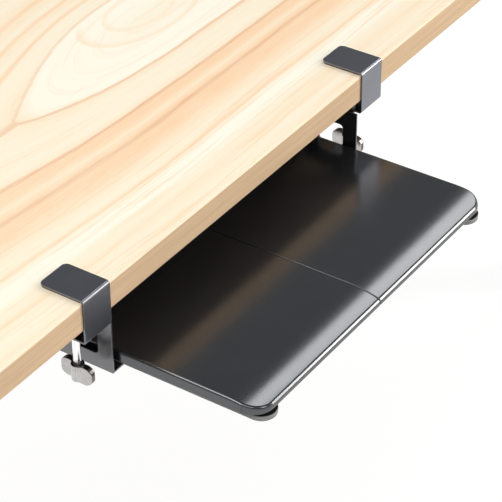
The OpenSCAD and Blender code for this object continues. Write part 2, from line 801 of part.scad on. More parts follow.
desk_top();
leg(-leg_x, leg_ys[0]);  // front_left_leg
leg(leg_x, leg_ys[0]);  // front_right_leg
leg(-leg_x, leg_ys[1]);  // rear_left_leg
leg(leg_x, leg_ys[1]);  // rear_right_leg
leg_plates();
leg_screws();
leg_end_plugs();
levelling_feet();
cross_rail(leg_ys[0]);  // front_rail
cross_rail(leg_ys[1]);  // rear_rail
side_rail(-leg_x);  // left_rail
side_rail(leg_x);  // right_rail
on_left() clamp();  // left_clamp
clamp();  // right_clamp
on_left() grip_pad();  // left_grip_pad
grip_pad();  // right_grip_pad
to_left() jaw_nut();  // left_jaw_nut
jaw_nut();  // right_jaw_nut
to_left() pressure_pad();  // left_pressure_pad
pressure_pad();  // right_pressure_pad
to_left() clamp_screw();  // left_clamp_screw
clamp_screw();  // right_clamp_screw
to_left() wing_knob();  // left_wing_knob
wing_knob();  // right_wing_knob
on_left() side_bracket();  // left_side_bracket
side_bracket();  // right_side_bracket
bracket_bolts();
bracket_nuts();
on_left() glide_liner();  // left_glide_liner
glide_liner();  // right_glide_liner
liner_rivets();
rear_buffers();
on_left() tray_half();  // tray_left_half
tray_half();  // tray_right_half
joiner_plate(joiner_ys[0]);  // front_joiner_plate
joiner_plate(joiner_ys[1]);  // rear_joiner_plate
joiner_screws();
on_left() runner();  // left_runner
runner();  // right_runner
runner_spacers();
runner_screws();
runner_stops();
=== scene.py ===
"""Looks of the computer desk with a clamped-on keyboard tray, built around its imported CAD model."""
import json
import math

import bmesh
import bpy
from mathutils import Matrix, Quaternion, Vector

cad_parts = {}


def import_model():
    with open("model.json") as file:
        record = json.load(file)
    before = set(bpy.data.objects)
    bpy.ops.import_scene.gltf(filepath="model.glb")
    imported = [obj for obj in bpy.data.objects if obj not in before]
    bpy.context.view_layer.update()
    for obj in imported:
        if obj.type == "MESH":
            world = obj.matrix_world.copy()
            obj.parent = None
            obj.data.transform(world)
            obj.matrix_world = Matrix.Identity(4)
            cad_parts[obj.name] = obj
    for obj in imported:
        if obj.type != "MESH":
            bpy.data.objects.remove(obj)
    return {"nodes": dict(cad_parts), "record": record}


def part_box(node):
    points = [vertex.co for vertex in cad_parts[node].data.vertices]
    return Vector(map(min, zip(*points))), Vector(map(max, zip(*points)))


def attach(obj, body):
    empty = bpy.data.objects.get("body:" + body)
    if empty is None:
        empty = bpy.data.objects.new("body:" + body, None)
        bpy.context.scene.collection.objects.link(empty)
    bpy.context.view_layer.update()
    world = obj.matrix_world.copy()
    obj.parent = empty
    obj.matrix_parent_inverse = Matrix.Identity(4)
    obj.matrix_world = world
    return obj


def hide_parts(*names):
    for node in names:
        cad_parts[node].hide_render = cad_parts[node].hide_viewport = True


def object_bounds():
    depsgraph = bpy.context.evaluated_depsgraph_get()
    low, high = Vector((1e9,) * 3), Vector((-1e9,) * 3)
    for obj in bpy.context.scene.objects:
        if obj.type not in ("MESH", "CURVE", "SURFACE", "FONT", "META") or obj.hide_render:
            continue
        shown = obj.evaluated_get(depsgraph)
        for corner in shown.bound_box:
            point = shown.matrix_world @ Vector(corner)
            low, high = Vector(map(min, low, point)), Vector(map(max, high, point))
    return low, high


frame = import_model()
cad_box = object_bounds()

MM = 0.001
TURN = 2 * math.pi
QUARTER = math.pi / 2
SIDES = ("left", "right")
ENDS = ("front", "rear")
WHITE = (1.0, 1.0, 1.0)
WARM_WHITE = (1.0, 0.955, 0.90)
SAME_PLACE = 0.002 * MM

DESK_LOW, DESK_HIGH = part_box("desk_top")
FRONT_Y = DESK_LOW.y
TOP_Z = DESK_HIGH.z


# ---- Node graphs ----

class Graph:
    """A new material's node tree, with short calls for the nodes that the finishes need."""

    def __init__(self, name):
        self.material = bpy.data.materials.new(name)
        self.material.use_nodes = True
        self.tree = self.material.node_tree
        self.shader = self.tree.nodes["Principled BSDF"]
        self.place = self.node("ShaderNodeTexCoord").outputs["Object"]

    def node(self, kind, **settings):
        """New node with the given settings."""
        made = self.tree.nodes.new(kind)
        for key, value in settings.items():
            setattr(made, key, value)
        return made

    def feed(self, socket, value):
        """Links a socket to another one, or sets its constant."""
        if isinstance(value, bpy.types.NodeSocket):
            self.tree.links.new(value, socket)
        else:
            socket.default_value = value

    def math(self, operation, first, second=0.0, clamp=False):
        """Result of one sum on one or two values."""
        made = self.node("ShaderNodeMath", operation=operation, use_clamp=clamp)
        self.feed(made.inputs[0], first)
        self.feed(made.inputs[1], second)
        return made.outputs[0]

    def plus(self, first, second, clamp=False):
        return self.math("ADD", first, second, clamp)

    def minus(self, first, second):
        return self.math("SUBTRACT", first, second)

    def times(self, first, second, clamp=False):
        return self.math("MULTIPLY", first, second, clamp)

    def over(self, first, second):
        return self.math("DIVIDE", first, second)

    def square(self, value):
        return self.times(value, value)

    def root(self, value):
        return self.math("SQRT", value)

    def size(self, value):
        """The value without its sign."""
        return self.math("ABSOLUTE", value)

    def step(self, value, low, high, start=0.0, end=1.0):
        """Smooth change from start to end as value goes from low to high."""
        made = self.node("ShaderNodeMapRange", interpolation_type="SMOOTHSTEP")
        for index, item in enumerate((value, low, high, start, end)):
            self.feed(made.inputs[index], item)
        return made.outputs[0]

    def split(self, vector):
        """The three coordinates of a vector."""
        made = self.node("ShaderNodeSeparateXYZ")
        self.feed(made.inputs[0], vector)
        return made.outputs

    def join(self, x, y, z):
        """A vector from its three coordinates."""
        made = self.node("ShaderNodeCombineXYZ")
        for index, item in enumerate((x, y, z)):
            self.feed(made.inputs[index], item)
        return made.outputs[0]

    def stretch(self, vector, scales):
        """The vector with each coordinate times its own scale."""
        made = self.node("ShaderNodeVectorMath", operation="MULTIPLY")
        self.feed(made.inputs[0], vector)
        made.inputs[1].default_value = scales
        return made.outputs[0]

    def noise(self, vector, scale, detail=2.0, roughness=0.5):
        """Soft random values from 0 to 1, mostly near the middle."""
        made = self.node("ShaderNodeTexNoise")
        self.feed(made.inputs["Vector"], vector)
        made.inputs["Scale"].default_value = scale
        made.inputs["Detail"].default_value = detail
        made.inputs["Roughness"].default_value = roughness
        return made.outputs["Fac"]

    def cells(self, vector, scale):
        """Distance from the middles of small random cells."""
        made = self.node("ShaderNodeTexVoronoi")
        self.feed(made.inputs["Vector"], vector)
        made.inputs["Scale"].default_value = scale
        return made.outputs["Distance"]

    def ramp(self, value, stops):
        """Colours along value, given as (place, colour) from 0 to 1."""
        made = self.node("ShaderNodeValToRGB")
        self.feed(made.inputs[0], value)
        elements = made.color_ramp.elements
        while len(elements) < len(stops):
            elements.new(1.0)
        for element, (place, colour) in zip(elements, stops):
            element.position = place
            element.color = (*colour, 1.0)
        return made.outputs[0]

    def mix(self, factor, first, second):
        """Colour between first at factor 0 and second at factor 1."""
        made = self.node("ShaderNodeMix", data_type="RGBA")
        self.feed(made.inputs["Factor"], factor)
        for key, value in (("A", first), ("B", second)):
            socket = [s for s in made.inputs if s.name == key and s.type == "RGBA"][0]
            self.feed(socket, (*value, 1.0) if isinstance(value, tuple) else value)
        return [s for s in made.outputs if s.type == "RGBA"][0]

    def bump(self, height, depth):
        """Relief of the given depth in metres, where height goes from 0 to 1."""
        made = self.node("ShaderNodeBump")
        made.inputs["Distance"].default_value = depth
        self.feed(made.inputs["Height"], height)
        self.feed(self.shader.inputs["Normal"], made.outputs[0])

    def set(self, **values):
        """Feeds the shader's sockets, named as in the interface but in lower case with underscores."""
        for key, value in values.items():
            socket = self.shader.inputs[key.replace("_", " ").title().replace("Ior", "IOR")]
            if isinstance(value, tuple):
                value = (*value, 1.0)
            self.feed(socket, value)


# ---- The desk top's wood ----
# Places are in millimetres: x from the desk's middle, depth from its front edge towards the back.

CREAM = (0.95, 0.84, 0.65)
PALE = (0.97, 0.92, 0.78)
PEACH = (0.95, 0.77, 0.55)
ORANGE = (0.94, 0.625, 0.375)
AMBER = (0.82, 0.47, 0.26)
EDGE_TAN = (0.79, 0.565, 0.36)
EDGE_BROWN = (0.71, 0.495, 0.31)

# The arch of the cathedral figure opens from its tip to its full half width, while its middle moves back
ARCH_TIP_X = -67.0
ARCH_RUN = 260.0
ARCH_HALF_WIDTH = 64.0
ARCH_DEPTH = 252.0
ARCH_SHIFT = 15.0
ARCH_TIP_R = 5.0
ARCH_RING = 64.8
# The rings draw together left of the tail and right of the far end
TAIL_X = -20.0
TAIL_BEND = 30.0
TAIL_PULL = 20.0
FAR_X = 560.0
FAR_PULL = 14.0
# Slow and quick waves in the rings
SLOW_SWAY = 7.0
QUICK_SWAY = 4.0
# Closed eye within the arch
EYE_X = 215.0
EYE_DEPTH = 290.0
EYE_HALF_LENGTH = 102.0
EYE_HALF_WIDTH = 54.0

# Colours by distance from the figure's heart, towards the desk's front and towards its rear
RING_REACH = 300.0
FRONT_RINGS = (
    (0, CREAM), (30, PALE), (61, PALE), (66, PEACH), (76, CREAM), (97, CREAM), (104.2, PEACH),
    (105.6, AMBER), (107.6, AMBER), (109.5, ORANGE), (118, ORANGE), (126, PEACH), (134, ORANGE),
    (136.6, AMBER), (138.4, AMBER), (142, ORANGE), (154, ORANGE), (170, PEACH), (184, CREAM),
    (188, PEACH), (191, ORANGE), (194, CREAM), (201, PALE), (212, PALE), (220, CREAM), (236, PEACH),
    (250, CREAM), (268, PEACH), (290, CREAM))
REAR_RINGS = (
    (0, CREAM), (30, PALE), (61, PALE), (66, CREAM), (84, CREAM), (88, ORANGE), (92, CREAM), (104, PEACH),
    (108, ORANGE), (113, CREAM), (128, PEACH), (134, ORANGE), (139, PEACH), (158, CREAM), (176, PEACH),
    (196, ORANGE), (202, CREAM), (230, PEACH), (262, CREAM), (288, PEACH))
# Strength of the eye's outline and core, by distance from its middle as a share of its half size
EYE_SHADES = ((0.0, 0.0), (0.46, 0.0), (0.55, 0.7), (0.6, 0.0), (0.84, 0.1), (0.95, 0.9), (1.0, 0.0))


def wood_noise(g, along, across, rates, layer, detail, roughness=0.5):
    """Noise drawn out along the grain: rates are per millimetre, and each layer is another pattern."""
    place = g.join(g.times(along, rates[0]), g.times(across, rates[1]), layer)
    return g.noise(place, 1.0, detail, roughness)


def wood_sway(g, x, depth):
    """How far the rings wander towards the front or back."""
    slow = wood_noise(g, x, depth, (0.004, 0.012), 0.0, 3.0)
    quick = wood_noise(g, x, depth, (0.02, 0.12), 0.14, 3.0)
    return g.plus(g.times(g.minus(slow, 0.5), SLOW_SWAY), g.times(g.minus(quick, 0.5), QUICK_SWAY))


def wood_rings(g, x, depth):
    """The cathedral figure: distance from its heart, offset from its middle line, gap to its arch."""
    along = g.times(g.minus(x, ARCH_TIP_X), 1 / ARCH_RUN, clamp=True)
    opening = g.times(along, g.minus(2.0, along))
    half_width = g.times(opening, ARCH_HALF_WIDTH)
    offset = g.minus(depth, g.plus(g.times(g.square(opening), ARCH_SHIFT), ARCH_DEPTH))
    before = g.math("MINIMUM", g.minus(x, TAIL_X), 0.0)
    tail = g.minus(g.root(g.plus(g.square(before), TAIL_BEND ** 2)), TAIL_BEND)
    beyond = g.math("MAXIMUM", g.minus(x, FAR_X), 0.0)
    pull = g.plus(g.times(tail, TAIL_PULL), g.times(beyond, FAR_PULL))
    grown = g.plus(g.minus(g.square(offset), g.square(half_width)), g.plus(pull, ARCH_RING ** 2))
    radius = g.root(g.math("MAXIMUM", grown, 1.0))
    rounded = g.root(g.plus(g.square(offset), ARCH_TIP_R ** 2))
    gap = g.minus(rounded, g.math("MAXIMUM", half_width, ARCH_TIP_R))
    return radius, offset, gap


def wood_figure(g, x, depth, radius, offset, gap):
    """Wide bands of colour along the rings, paler in patches, with a fine line along the arch."""
    share = g.over(radius, RING_REACH)
    front, rear = [g.ramp(share, [(place / RING_REACH, colour) for place, colour in rings])
                   for rings in (FRONT_RINGS, REAR_RINGS)]
    figure = g.mix(g.step(offset, 15.0, 60.0), front, rear)

    # Fainter on the left and in slow patches
    figure = g.mix(g.step(x, -200.0, 60.0, 0.12, 0.0), figure, CREAM)
    patch = wood_noise(g, x, depth, (0.007, 0.045), 5.0, 3.0)
    figure = g.mix(g.step(patch, 0.45, 0.75, 0.0, 0.18), figure, CREAM)

    # The arch's line, stronger towards the front, fades out left of the tip
    line = g.times(g.step(g.size(gap), 0.5, 3.4, 1.0, 0.0), g.step(offset, -6.0, 6.0, 0.75, 0.45))
    return g.mix(g.times(line, g.step(x, -240.0, -140.0)), figure, AMBER)


def wood_eye(g, x, depth, radius):
    """Strength of the closed eye's outline and core, which show only within the arch."""
    eye_x = g.over(g.minus(x, EYE_X), EYE_HALF_LENGTH)
    eye_y = g.over(g.minus(depth, EYE_DEPTH), EYE_HALF_WIDTH)
    distance = g.root(g.plus(g.square(eye_x), g.square(eye_y)))
    shade = g.ramp(distance, [(place, (strength,) * 3) for place, strength in EYE_SHADES])
    return g.times(shade, g.step(radius, 52.0, 61.0, 1.0, 0.0))


def wood_edge(g, x, depth, fibre):
    """Browner colour of the desk top's sides, with lines of their own."""
    line = wood_noise(g, x, depth, (0.006, 0.22), 21.0, 4.0, 0.6)
    edge = g.mix(g.step(line, 0.36, 0.62), EDGE_TAN, EDGE_BROWN)
    return g.mix(g.step(fibre, 0.35, 0.75, 0.0, 0.5), edge, EDGE_TAN)


def desk_wood():
    """Wide-grained pale wood with fibres, fine lines and pores; the grain runs on over the front edge."""
    g = Graph("desk_wood")
    x, y, z = g.split(g.stretch(g.place, (1 / MM,) * 3))
    below = g.minus(TOP_Z / MM, z)
    depth = g.minus(g.minus(y, FRONT_Y / MM), below)
    radius, offset, gap = wood_rings(g, x, g.plus(depth, wood_sway(g, x, depth)))
    colour = wood_figure(g, x, depth, radius, offset, gap)
    colour = g.mix(wood_eye(g, x, depth, radius), colour, PEACH)

    # Fine lines along the rings, stronger away from the middle
    line = g.step(wood_noise(g, x, radius, (0.0035, 0.16), 3.0, 3.0, 0.65), 0.50, 0.66)
    outer = g.step(g.size(offset), 60.0, 200.0, 0.25, 0.60)
    colour = g.mix(g.times(line, outer), colour, ORANGE)

    # Pale fibres, the strongest of them brown, and short brown pores
    fibre = wood_noise(g, x, depth, (0.02, 0.55), 0.0, 4.0, 0.6)
    colour = g.mix(g.step(fibre, 0.34, 0.75, 0.06, 0.32), colour, PALE)
    colour = g.mix(g.step(fibre, 0.62, 0.78, 0.0, 0.30), colour, AMBER)
    pore = g.step(wood_noise(g, x, depth, (0.12, 2.2), 11.0, 2.0), 0.69, 0.76, 0.0, 0.35)
    colour = g.mix(pore, colour, AMBER)

    on_edge = g.step(below, 1.2, 2.6)
    g.set(base_color=g.mix(on_edge, colour, wood_edge(g, x, depth, fibre)))
    g.set(roughness=g.step(fibre, 0.2, 0.8, 0.74, 0.88), specular_ior_level=0.12)
    g.bump(g.minus(fibre, g.times(pore, 1.4)), 0.05 * MM)
    return g.material


# ---- The other finishes ----

CLOUD_SCALE = 45.0


def coat(name, colour, metallic, roughness, grain, depth):
    """Sprayed satin coat: a fine even grain and a slow, slight change in colour and gloss."""
    g = Graph(name)
    fine = g.noise(g.place, grain, 3.0, 0.6)
    cloud = g.noise(g.place, CLOUD_SCALE, 3.0)
    gloss = g.noise(g.place, 60.0, 2.0)
    darker = tuple(0.95 * c for c in colour)
    g.set(base_color=g.mix(g.step(cloud, 0.3, 0.7), darker, colour), metallic=metallic)
    g.set(roughness=g.step(gloss, 0.3, 0.7, 0.96 * roughness, 1.04 * roughness))
    g.bump(fine, depth)
    return g.material


def runner_coat():
    """Light grey coat on the runner's sides, with its upper face painted near-black and rougher as painted
    shade for the shadow under the tray.
    """
    g = Graph("runner_steel")
    fine = g.noise(g.place, 2800.0, 3.0, 0.6)
    cloud = g.noise(g.place, CLOUD_SCALE, 3.0)
    sides = g.mix(g.step(cloud, 0.3, 0.7), (0.29, 0.29, 0.275), (0.32, 0.32, 0.30))
    facing = g.split(g.node("ShaderNodeNewGeometry").outputs["True Normal"])[2]
    # Painted shade: faces turned upwards go near-black, standing in for the shadow that the tray casts on
    # them
    painted_shade_top = g.step(facing, 0.6, 0.8)
    g.set(base_color=g.mix(painted_shade_top, sides, (0.006, 0.006, 0.007)))
    g.set(roughness=g.step(painted_shade_top, 0.0, 1.0, 0.38, 0.6), specular_ior_level=0.3)
    g.bump(fine, 0.006 * MM)
    return g.material


def moulded(name, colour, roughness, grain, depth, specular=0.5, ior=1.5, tint=WHITE):
    """Moulded plastic or rubber with a spark-eroded grain, a little worn on the high spots."""
    g = Graph(name)
    pits = g.cells(g.place, grain)
    fine = g.noise(g.place, 2.3 * grain, 2.0)
    worn = g.step(g.noise(g.place, 28.0, 4.0), 0.42, 0.72)
    paler = tuple(1.2 * c + 0.001 for c in colour)
    g.set(base_color=g.mix(worn, colour, paler), specular_ior_level=specular, ior=ior, specular_tint=tint)
    g.set(roughness=g.step(worn, 0.0, 1.0, 1.03 * roughness, 0.96 * roughness))
    g.bump(g.plus(g.times(pits, 0.7), g.times(fine, 0.6)), depth)
    return g.material


def knob_metal():
    """Nickel on a casting, brushed along the broad faces of the wings, with painted shade: the colour goes
    dark round their rims to hold back their glint.
    """
    g = Graph("knob_metal")
    streak = g.noise(g.stretch(g.place, (3500.0, 3500.0, 150.0)), 1.0, 3.0, 0.6)
    cloud = g.noise(g.place, 160.0, 3.0)
    across = g.size(g.split(g.node("ShaderNodeTexCoord").outputs["Normal"])[0])
    faces = g.mix(g.step(cloud, 0.3, 0.7), (0.50, 0.485, 0.47), (0.56, 0.545, 0.53))
    # Painted shade: away from the side faces, round the rims, the colour turns dark to stand in for their
    # shaded reflection
    g.set(base_color=g.mix(g.step(across, 0.55, 0.85), (0.16, 0.145, 0.135), faces), metallic=1.0)
    g.set(roughness=g.step(streak, 0.25, 0.75, 0.20, 0.26))
    g.bump(streak, 0.002 * MM)
    return g.material


def plated(name, colour, roughness, wear):
    """Plated steel with spangle and handling marks; wear is 0 for a bright new surface."""
    g = Graph(name)
    spangle = g.cells(g.place, 900.0)
    marks = g.noise(g.place, 260.0, 4.0, 0.65)
    darker = tuple((1.0 - 0.4 * wear) * c for c in colour)
    g.set(base_color=g.mix(g.step(spangle, 0.1, 0.6), colour, darker), metallic=1.0)
    g.set(roughness=g.step(marks, 0.35, 0.7, (1.0 - wear) * roughness, (1.0 + wear) * roughness))
    g.bump(marks, 0.03 * wear * MM)
    return g.material


FINISHES = {
    "desk_wood": desk_wood(),
    "frame_coat": coat("frame_coat", (0.028, 0.028, 0.031), 0.0, 0.42, 2600.0, 0.03 * MM),
    "clamp_coat": coat("clamp_coat", (0.220, 0.225, 0.250), 0.96, 0.25, 5200.0, 0.002 * MM),
    "bracket_coat": coat("bracket_coat", (0.205, 0.205, 0.215), 0.96, 0.25, 5200.0, 0.002 * MM),
    "grip_rubber": moulded("grip_rubber", (0.020, 0.015, 0.011), 0.75, 1800.0, 0.05 * MM),
    "bright_steel": plated("bright_steel", (0.98, 0.98, 0.98), 0.27, 0.02),
    "knob_metal": knob_metal(),
    "zinc": plated("zinc", (0.62, 0.63, 0.64), 0.28, 0.2),
    "tray_plastic": moulded("tray_plastic", (0.009, 0.010, 0.012), 0.185, 2200.0, 0.002 * MM,
                            specular=1.0, ior=1.6, tint=(0.94, 0.96, 1.0)),
    "runner_steel": runner_coat(),
    "nylon": moulded("nylon", (0.014, 0.014, 0.015), 0.5, 1500.0, 0.02 * MM),
    "plug_plastic": moulded("plug_plastic", (0.016, 0.016, 0.016), 0.55, 1300.0, 0.03 * MM),
}

SLOT_OF = {part["node"]: part["material_slot"] for part in frame["record"]["subparts"]}
BODY_OF = {node: body for body, nodes in frame["record"]["behaviour"]["bodies"].items() for node in nodes}


# ---- Pieces ----

ROUND_ANGLE = math.radians(32.0)


def middle(low, high, z):
    """Point over the middle of a box, at height z."""
    return Vector(((low.x + high.x) / 2, (low.y + high.y) / 2, z))


def paint(node):
    """Gives a CAD node that keeps its own mesh its finish."""
    mesh = frame["nodes"][node].data
    mesh.materials.clear()
    mesh.materials.append(FINISHES[SLOT_OF[node]])


def stand_in(name, mesh, node):
    """Puts a new mesh in the place of a CAD node, with its body, slot and finish."""
    piece = bpy.data.objects.new(name, mesh)
    bpy.context.scene.collection.objects.link(piece)
    mesh.materials.clear()
    mesh.materials.append(FINISHES[SLOT_OF[node]])
    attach(piece, BODY_OF[node])
    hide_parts(node)
    return piece


def clean_copy(node):
    """The node's mesh with its doubled points joined and its flat faces whole."""
    mesh = frame["nodes"][node].data.copy()
    bm = bmesh.new()
    bm.from_mesh(mesh)
    bmesh.ops.remove_doubles(bm, verts=bm.verts, dist=SAME_PLACE)
    bmesh.ops.dissolve_limit(bm, angle_limit=math.radians(0.4), verts=bm.verts, edges=bm.edges)
    bm.to_mesh(mesh)
    bm.free()
    for attribute in ("custom_normal", "sharp_edge", "sharp_face"):
        if attribute in mesh.attributes:
            mesh.attributes.remove(mesh.attributes[attribute])
    mesh.shade_smooth()
    return mesh


def dress(node, bevel, segments=2):
    """Stands a copy with rounded edges in for a CAD node, so that its edges catch the light."""
    mesh = clean_copy(node)
    mesh.set_sharp_from_angle(angle=ROUND_ANGLE)
    piece = stand_in(node + "_dressed", mesh, node)
    rounding = piece.modifiers.new("edges", "BEVEL")
    rounding.width = bevel
    rounding.segments = segments
    rounding.limit_method = "ANGLE"
    rounding.angle_limit = ROUND_ANGLE
    rounding.use_clamp_overlap = False
    rounding.harden_normals = True
    rounding.miter_outer = "MITER_ARC"


def islands(node):
    """Boxes of a node's separate solids, as (low, high) pairs in the order of their points."""
    bm = bmesh.new()
    bm.from_mesh(frame["nodes"][node].data)
    bmesh.ops.remove_doubles(bm, verts=bm.verts, dist=SAME_PLACE)
    seen = set()
    boxes = []
    for first in bm.verts:
        if first in seen:
            continue
        seen.add(first)
        todo = [first]
        found = []
        while todo:
            vert = todo.pop()
            found.append(vert.co.copy())
            for edge in vert.link_edges:
                other = edge.other_vert(vert)
                if other not in seen:
                    seen.add(other)
                    todo.append(other)
        low = Vector([min(p[i] for p in found) for i in range(3)])
        high = Vector([max(p[i] for p in found) for i in range(3)])
        boxes.append((low, high))
    bm.free()
    return boxes


def finish_mesh(bm, name, angle=35.0):
    """Mesh from a bmesh, smooth but for edges sharper than the angle in degrees."""
    bmesh.ops.recalc_face_normals(bm, faces=bm.faces)
    mesh = bpy.data.meshes.new(name)
    bm.to_mesh(mesh)
    bm.free()
    mesh.shade_smooth()
    mesh.set_sharp_from_angle(angle=math.radians(angle))
    return mesh


def lathe(bm, centre, rows, steps=40):
    """Skins rows of (height, radius) round an upright axis, and closes the first and last with a fan.

    A row's radius may be a function of the angle that gives the radius and a lift.
    """
    rings = []
    for height, radius in rows:
        ring = []
        for k in range(steps):
            angle = TURN * k / steps
            r, lift = radius(angle) if callable(radius) else (radius, 0.0)
            spoke = Vector((r * math.cos(angle), r * math.sin(angle), height + lift))
            ring.append(bm.verts.new(centre + spoke))
        rings.append(ring)
    for low, high in zip(rings, rings[1:]):
        for k in range(steps):
            bm.faces.new((low[k], low[k - steps + 1], high[k - steps + 1], high[k]))
    for ring, (height, _) in ((rings[0], rows[0]), (rings[-1], rows[-1])):
        hub = bm.verts.new(centre + Vector((0, 0, height)))
        for k in range(steps):
            bm.faces.new((ring[k], ring[k - steps + 1], hub))


# ---- Screws, knobs and rivets ----

# A pan head's flat top, upright side and recess, as shares of its radius or thickness
HEAD_FLAT = 0.62
HEAD_SIDE = 0.32
RECESS_RINGS = (0.10, 0.28, 0.46)
RECESS_RIM = 0.52
RECESS_DEPTH = 0.65
DOME_STEPS = 5
# Half the width of one arm of the recess
RECESS_ARM = 0.55 * MM

# The clamp screw's thread starts below the jaw nut and runs out under the shoulder of its tip
THREAD_PITCH = 1.25 * MM
THREAD_DEPTH = 0.55 * MM
THREAD_BELOW_NUT = 8 * MM
THREAD_MARGIN = 0.8 * MM
THREAD_RUN_OUT = 0.7 * MM
ROWS_PER_PITCH = 6
CHAMFER = 0.3 * MM
TIP_SHARE = 0.75

# The knob's skin: size of its cells and number of smoothing passes
KNOB_VOXEL = 0.4 * MM
KNOB_PASSES = 14

# A rivet's head, with its top and shank as shares of its radius
RIVET_HEAD_T = 1 * MM
RIVET_TOP = 0.35
RIVET_SHANK = 0.55
RIVET_STEPS = 4


def cross_recess(radius, depth):
    """Row function for a ring of a screw head: it dips where one of the four arms of the recess passes."""
    def ring(angle):
        arm = abs((angle + QUARTER / 2) % QUARTER - QUARTER / 2)
        return radius, depth if arm * radius < RECESS_ARM else 0.0
    return ring


def screw_group(node, head_d, head_t, shank_d):
    """Pan-head screws with a crossed recess, head down, one for each solid of the node."""
    bm = bmesh.new()
    head_r, shank_r = head_d / 2, shank_d / 2
    dome_t = (1 - HEAD_SIDE) * head_t
    head = [(0.0, cross_recess(share * head_r, RECESS_DEPTH * head_t)) for share in RECESS_RINGS]
    head += [(0.0, RECESS_RIM * head_r), (0.0, HEAD_FLAT * head_r)]
    for k in range(1, DOME_STEPS + 1):
        angle = QUARTER * k / DOME_STEPS
        share = HEAD_FLAT + (1 - HEAD_FLAT) * math.sin(angle)
        head.append((dome_t * (1 - math.cos(angle)), share * head_r))
    head += [(head_t, head_r), (head_t, shank_r)]
    for low, high in islands(node):
        length = high.z - low.z
        point = [(length - 0.3 * shank_d, shank_r), (length, shank_r / 2)]
        lathe(bm, middle(low, high, low.z), head + point)
    stand_in(node + "_detailed", finish_mesh(bm, node), node)


def clamp_screw(side):
    """Screw with a rolled thread at its upper end and a plain bright shank above the knob."""
    node = side + "_clamp_screw"
    low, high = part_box(node)
    radius = (high.x - low.x) / 2
    tip_r = TIP_SHARE * radius
    shoulder_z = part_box(side + "_pressure_pad")[0].z
    thread_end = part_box(side + "_jaw_nut")[0].z - THREAD_BELOW_NUT

    def thread(z, fade):
        def ring(angle):
            phase = (z / THREAD_PITCH - angle / TURN) % 1.0
            return radius - fade * THREAD_DEPTH * abs(2 * phase - 1), 0.0
        return ring

    rows = [(low.z, radius - CHAMFER), (low.z + CHAMFER, radius), (thread_end - THREAD_PITCH, radius)]
    count = int((shoulder_z - THREAD_MARGIN - thread_end) / THREAD_PITCH * ROWS_PER_PITCH)
    for k in range(count):
        z = thread_end + k * THREAD_PITCH / ROWS_PER_PITCH
        rows.append((z, thread(z, min(1.0, k / ROWS_PER_PITCH))))
    rows += [(shoulder_z - THREAD_RUN_OUT, radius - THREAD_DEPTH), (shoulder_z, tip_r),
             (high.z - CHAMFER, tip_r), (high.z, tip_r - CHAMFER)]
    bm = bmesh.new()
    lathe(bm, middle(low, high, 0.0), rows, steps=48)
    stand_in(node + "_threaded", finish_mesh(bm, node, 50.0), node)


def wing_knob(side):
    """Cast knob: every edge of the plain solid melted into a soft round."""
    node = side + "_wing_knob"
    piece = stand_in(node + "_cast", clean_copy(node), node)
    skin = piece.modifiers.new("skin", "REMESH")
    skin.mode = "VOXEL"
    skin.voxel_size = KNOB_VOXEL
    skin.use_smooth_shade = True
    melt = piece.modifiers.new("melt", "SMOOTH")
    melt.factor = 0.5
    melt.iterations = KNOB_PASSES


def rivets():
    """Blind rivets with domed heads on both sides of the channel."""
    node = "liner_rivets"
    bm = bmesh.new()
    for low, high in islands(node):
        length = high.z - low.z
        head_r = (high.x - low.x) / 2
        dome = []
        for k in range(RIVET_STEPS + 1):
            angle = QUARTER * k / RIVET_STEPS
            share = RIVET_TOP + (1 - RIVET_TOP) * math.sin(angle)
            dome.append((RIVET_HEAD_T * (1 - math.cos(angle)), share * head_r))
        shank = [(z, RIVET_SHANK * head_r) for z in (RIVET_HEAD_T, length - RIVET_HEAD_T)]
        upper = [(length - z, r) for z, r in reversed(dome)]
        lathe(bm, middle(low, high, low.z), dome + shank + upper, steps=28)
    stand_in(node + "_domed", finish_mesh(bm, node), node)


# ---- The tray ----

# The tray's own sizes, as in its CAD model
TRAY_CORNER_R = 24 * MM
TRAY_REAR_R = 8.5 * MM
NOSE_RUN = 38 * MM
NOSE_DROP = 6.2 * MM
SKIN_T = 2.5 * MM
RIM_T = 2.2 * MM
RIB_T = 1.6 * MM
RIB_INSET = 2.6 * MM
RIB_COUNT = 4
BOSS_D = 11 * MM
BOSS_DROP = 0.5 * MM
# Rounding of its upper outer edge, of its edges at the seam and of its lower edge, and the bosses' chamfer
EDGE_ROUND = 3.4 * MM
SEAM_ROUND = 1.0 * MM
FOOT_ROUND = 0.4 * MM
BOSS_CHAMFER = 0.44 * MM
# How finely its curves are cut
SEAM_CUTS = (0.1, 0.3, 0.6, 1.0)
CORNER_STEPS = 24
REAR_STEPS = 12
SIDE_STEPS = 11
NOSE_STEPS = 20
EDGE_STEPS = 8
RIB_STEPS = 10
ON_PLANE = 0.001 * MM


def nose_height(y, front, top):
    """Height of the tray's surface at y: flat, then falling on one arc to the front edge."""
    radius = (NOSE_RUN ** 2 + NOSE_DROP ** 2) / (2 * NOSE_DROP)
    into = max(0.0, front + NOSE_RUN - y)
    return top - radius + math.sqrt(radius ** 2 - into ** 2)


def round_drop(distance, radius):
    """How far a rounded edge lies below its surface, at a distance in from the edge."""
    left = max(0.0, radius - distance)
    return radius - math.sqrt(radius ** 2 - left ** 2)


def quarter_circle(x, y, radius, start, steps):
    """Plan points of a quarter circle round (x, y), anticlockwise from the start angle."""
    angles = [start + QUARTER * k / steps for k in range(steps + 1)]
    return [(x + radius * math.cos(angle), y + radius * math.sin(angle)) for angle in angles]


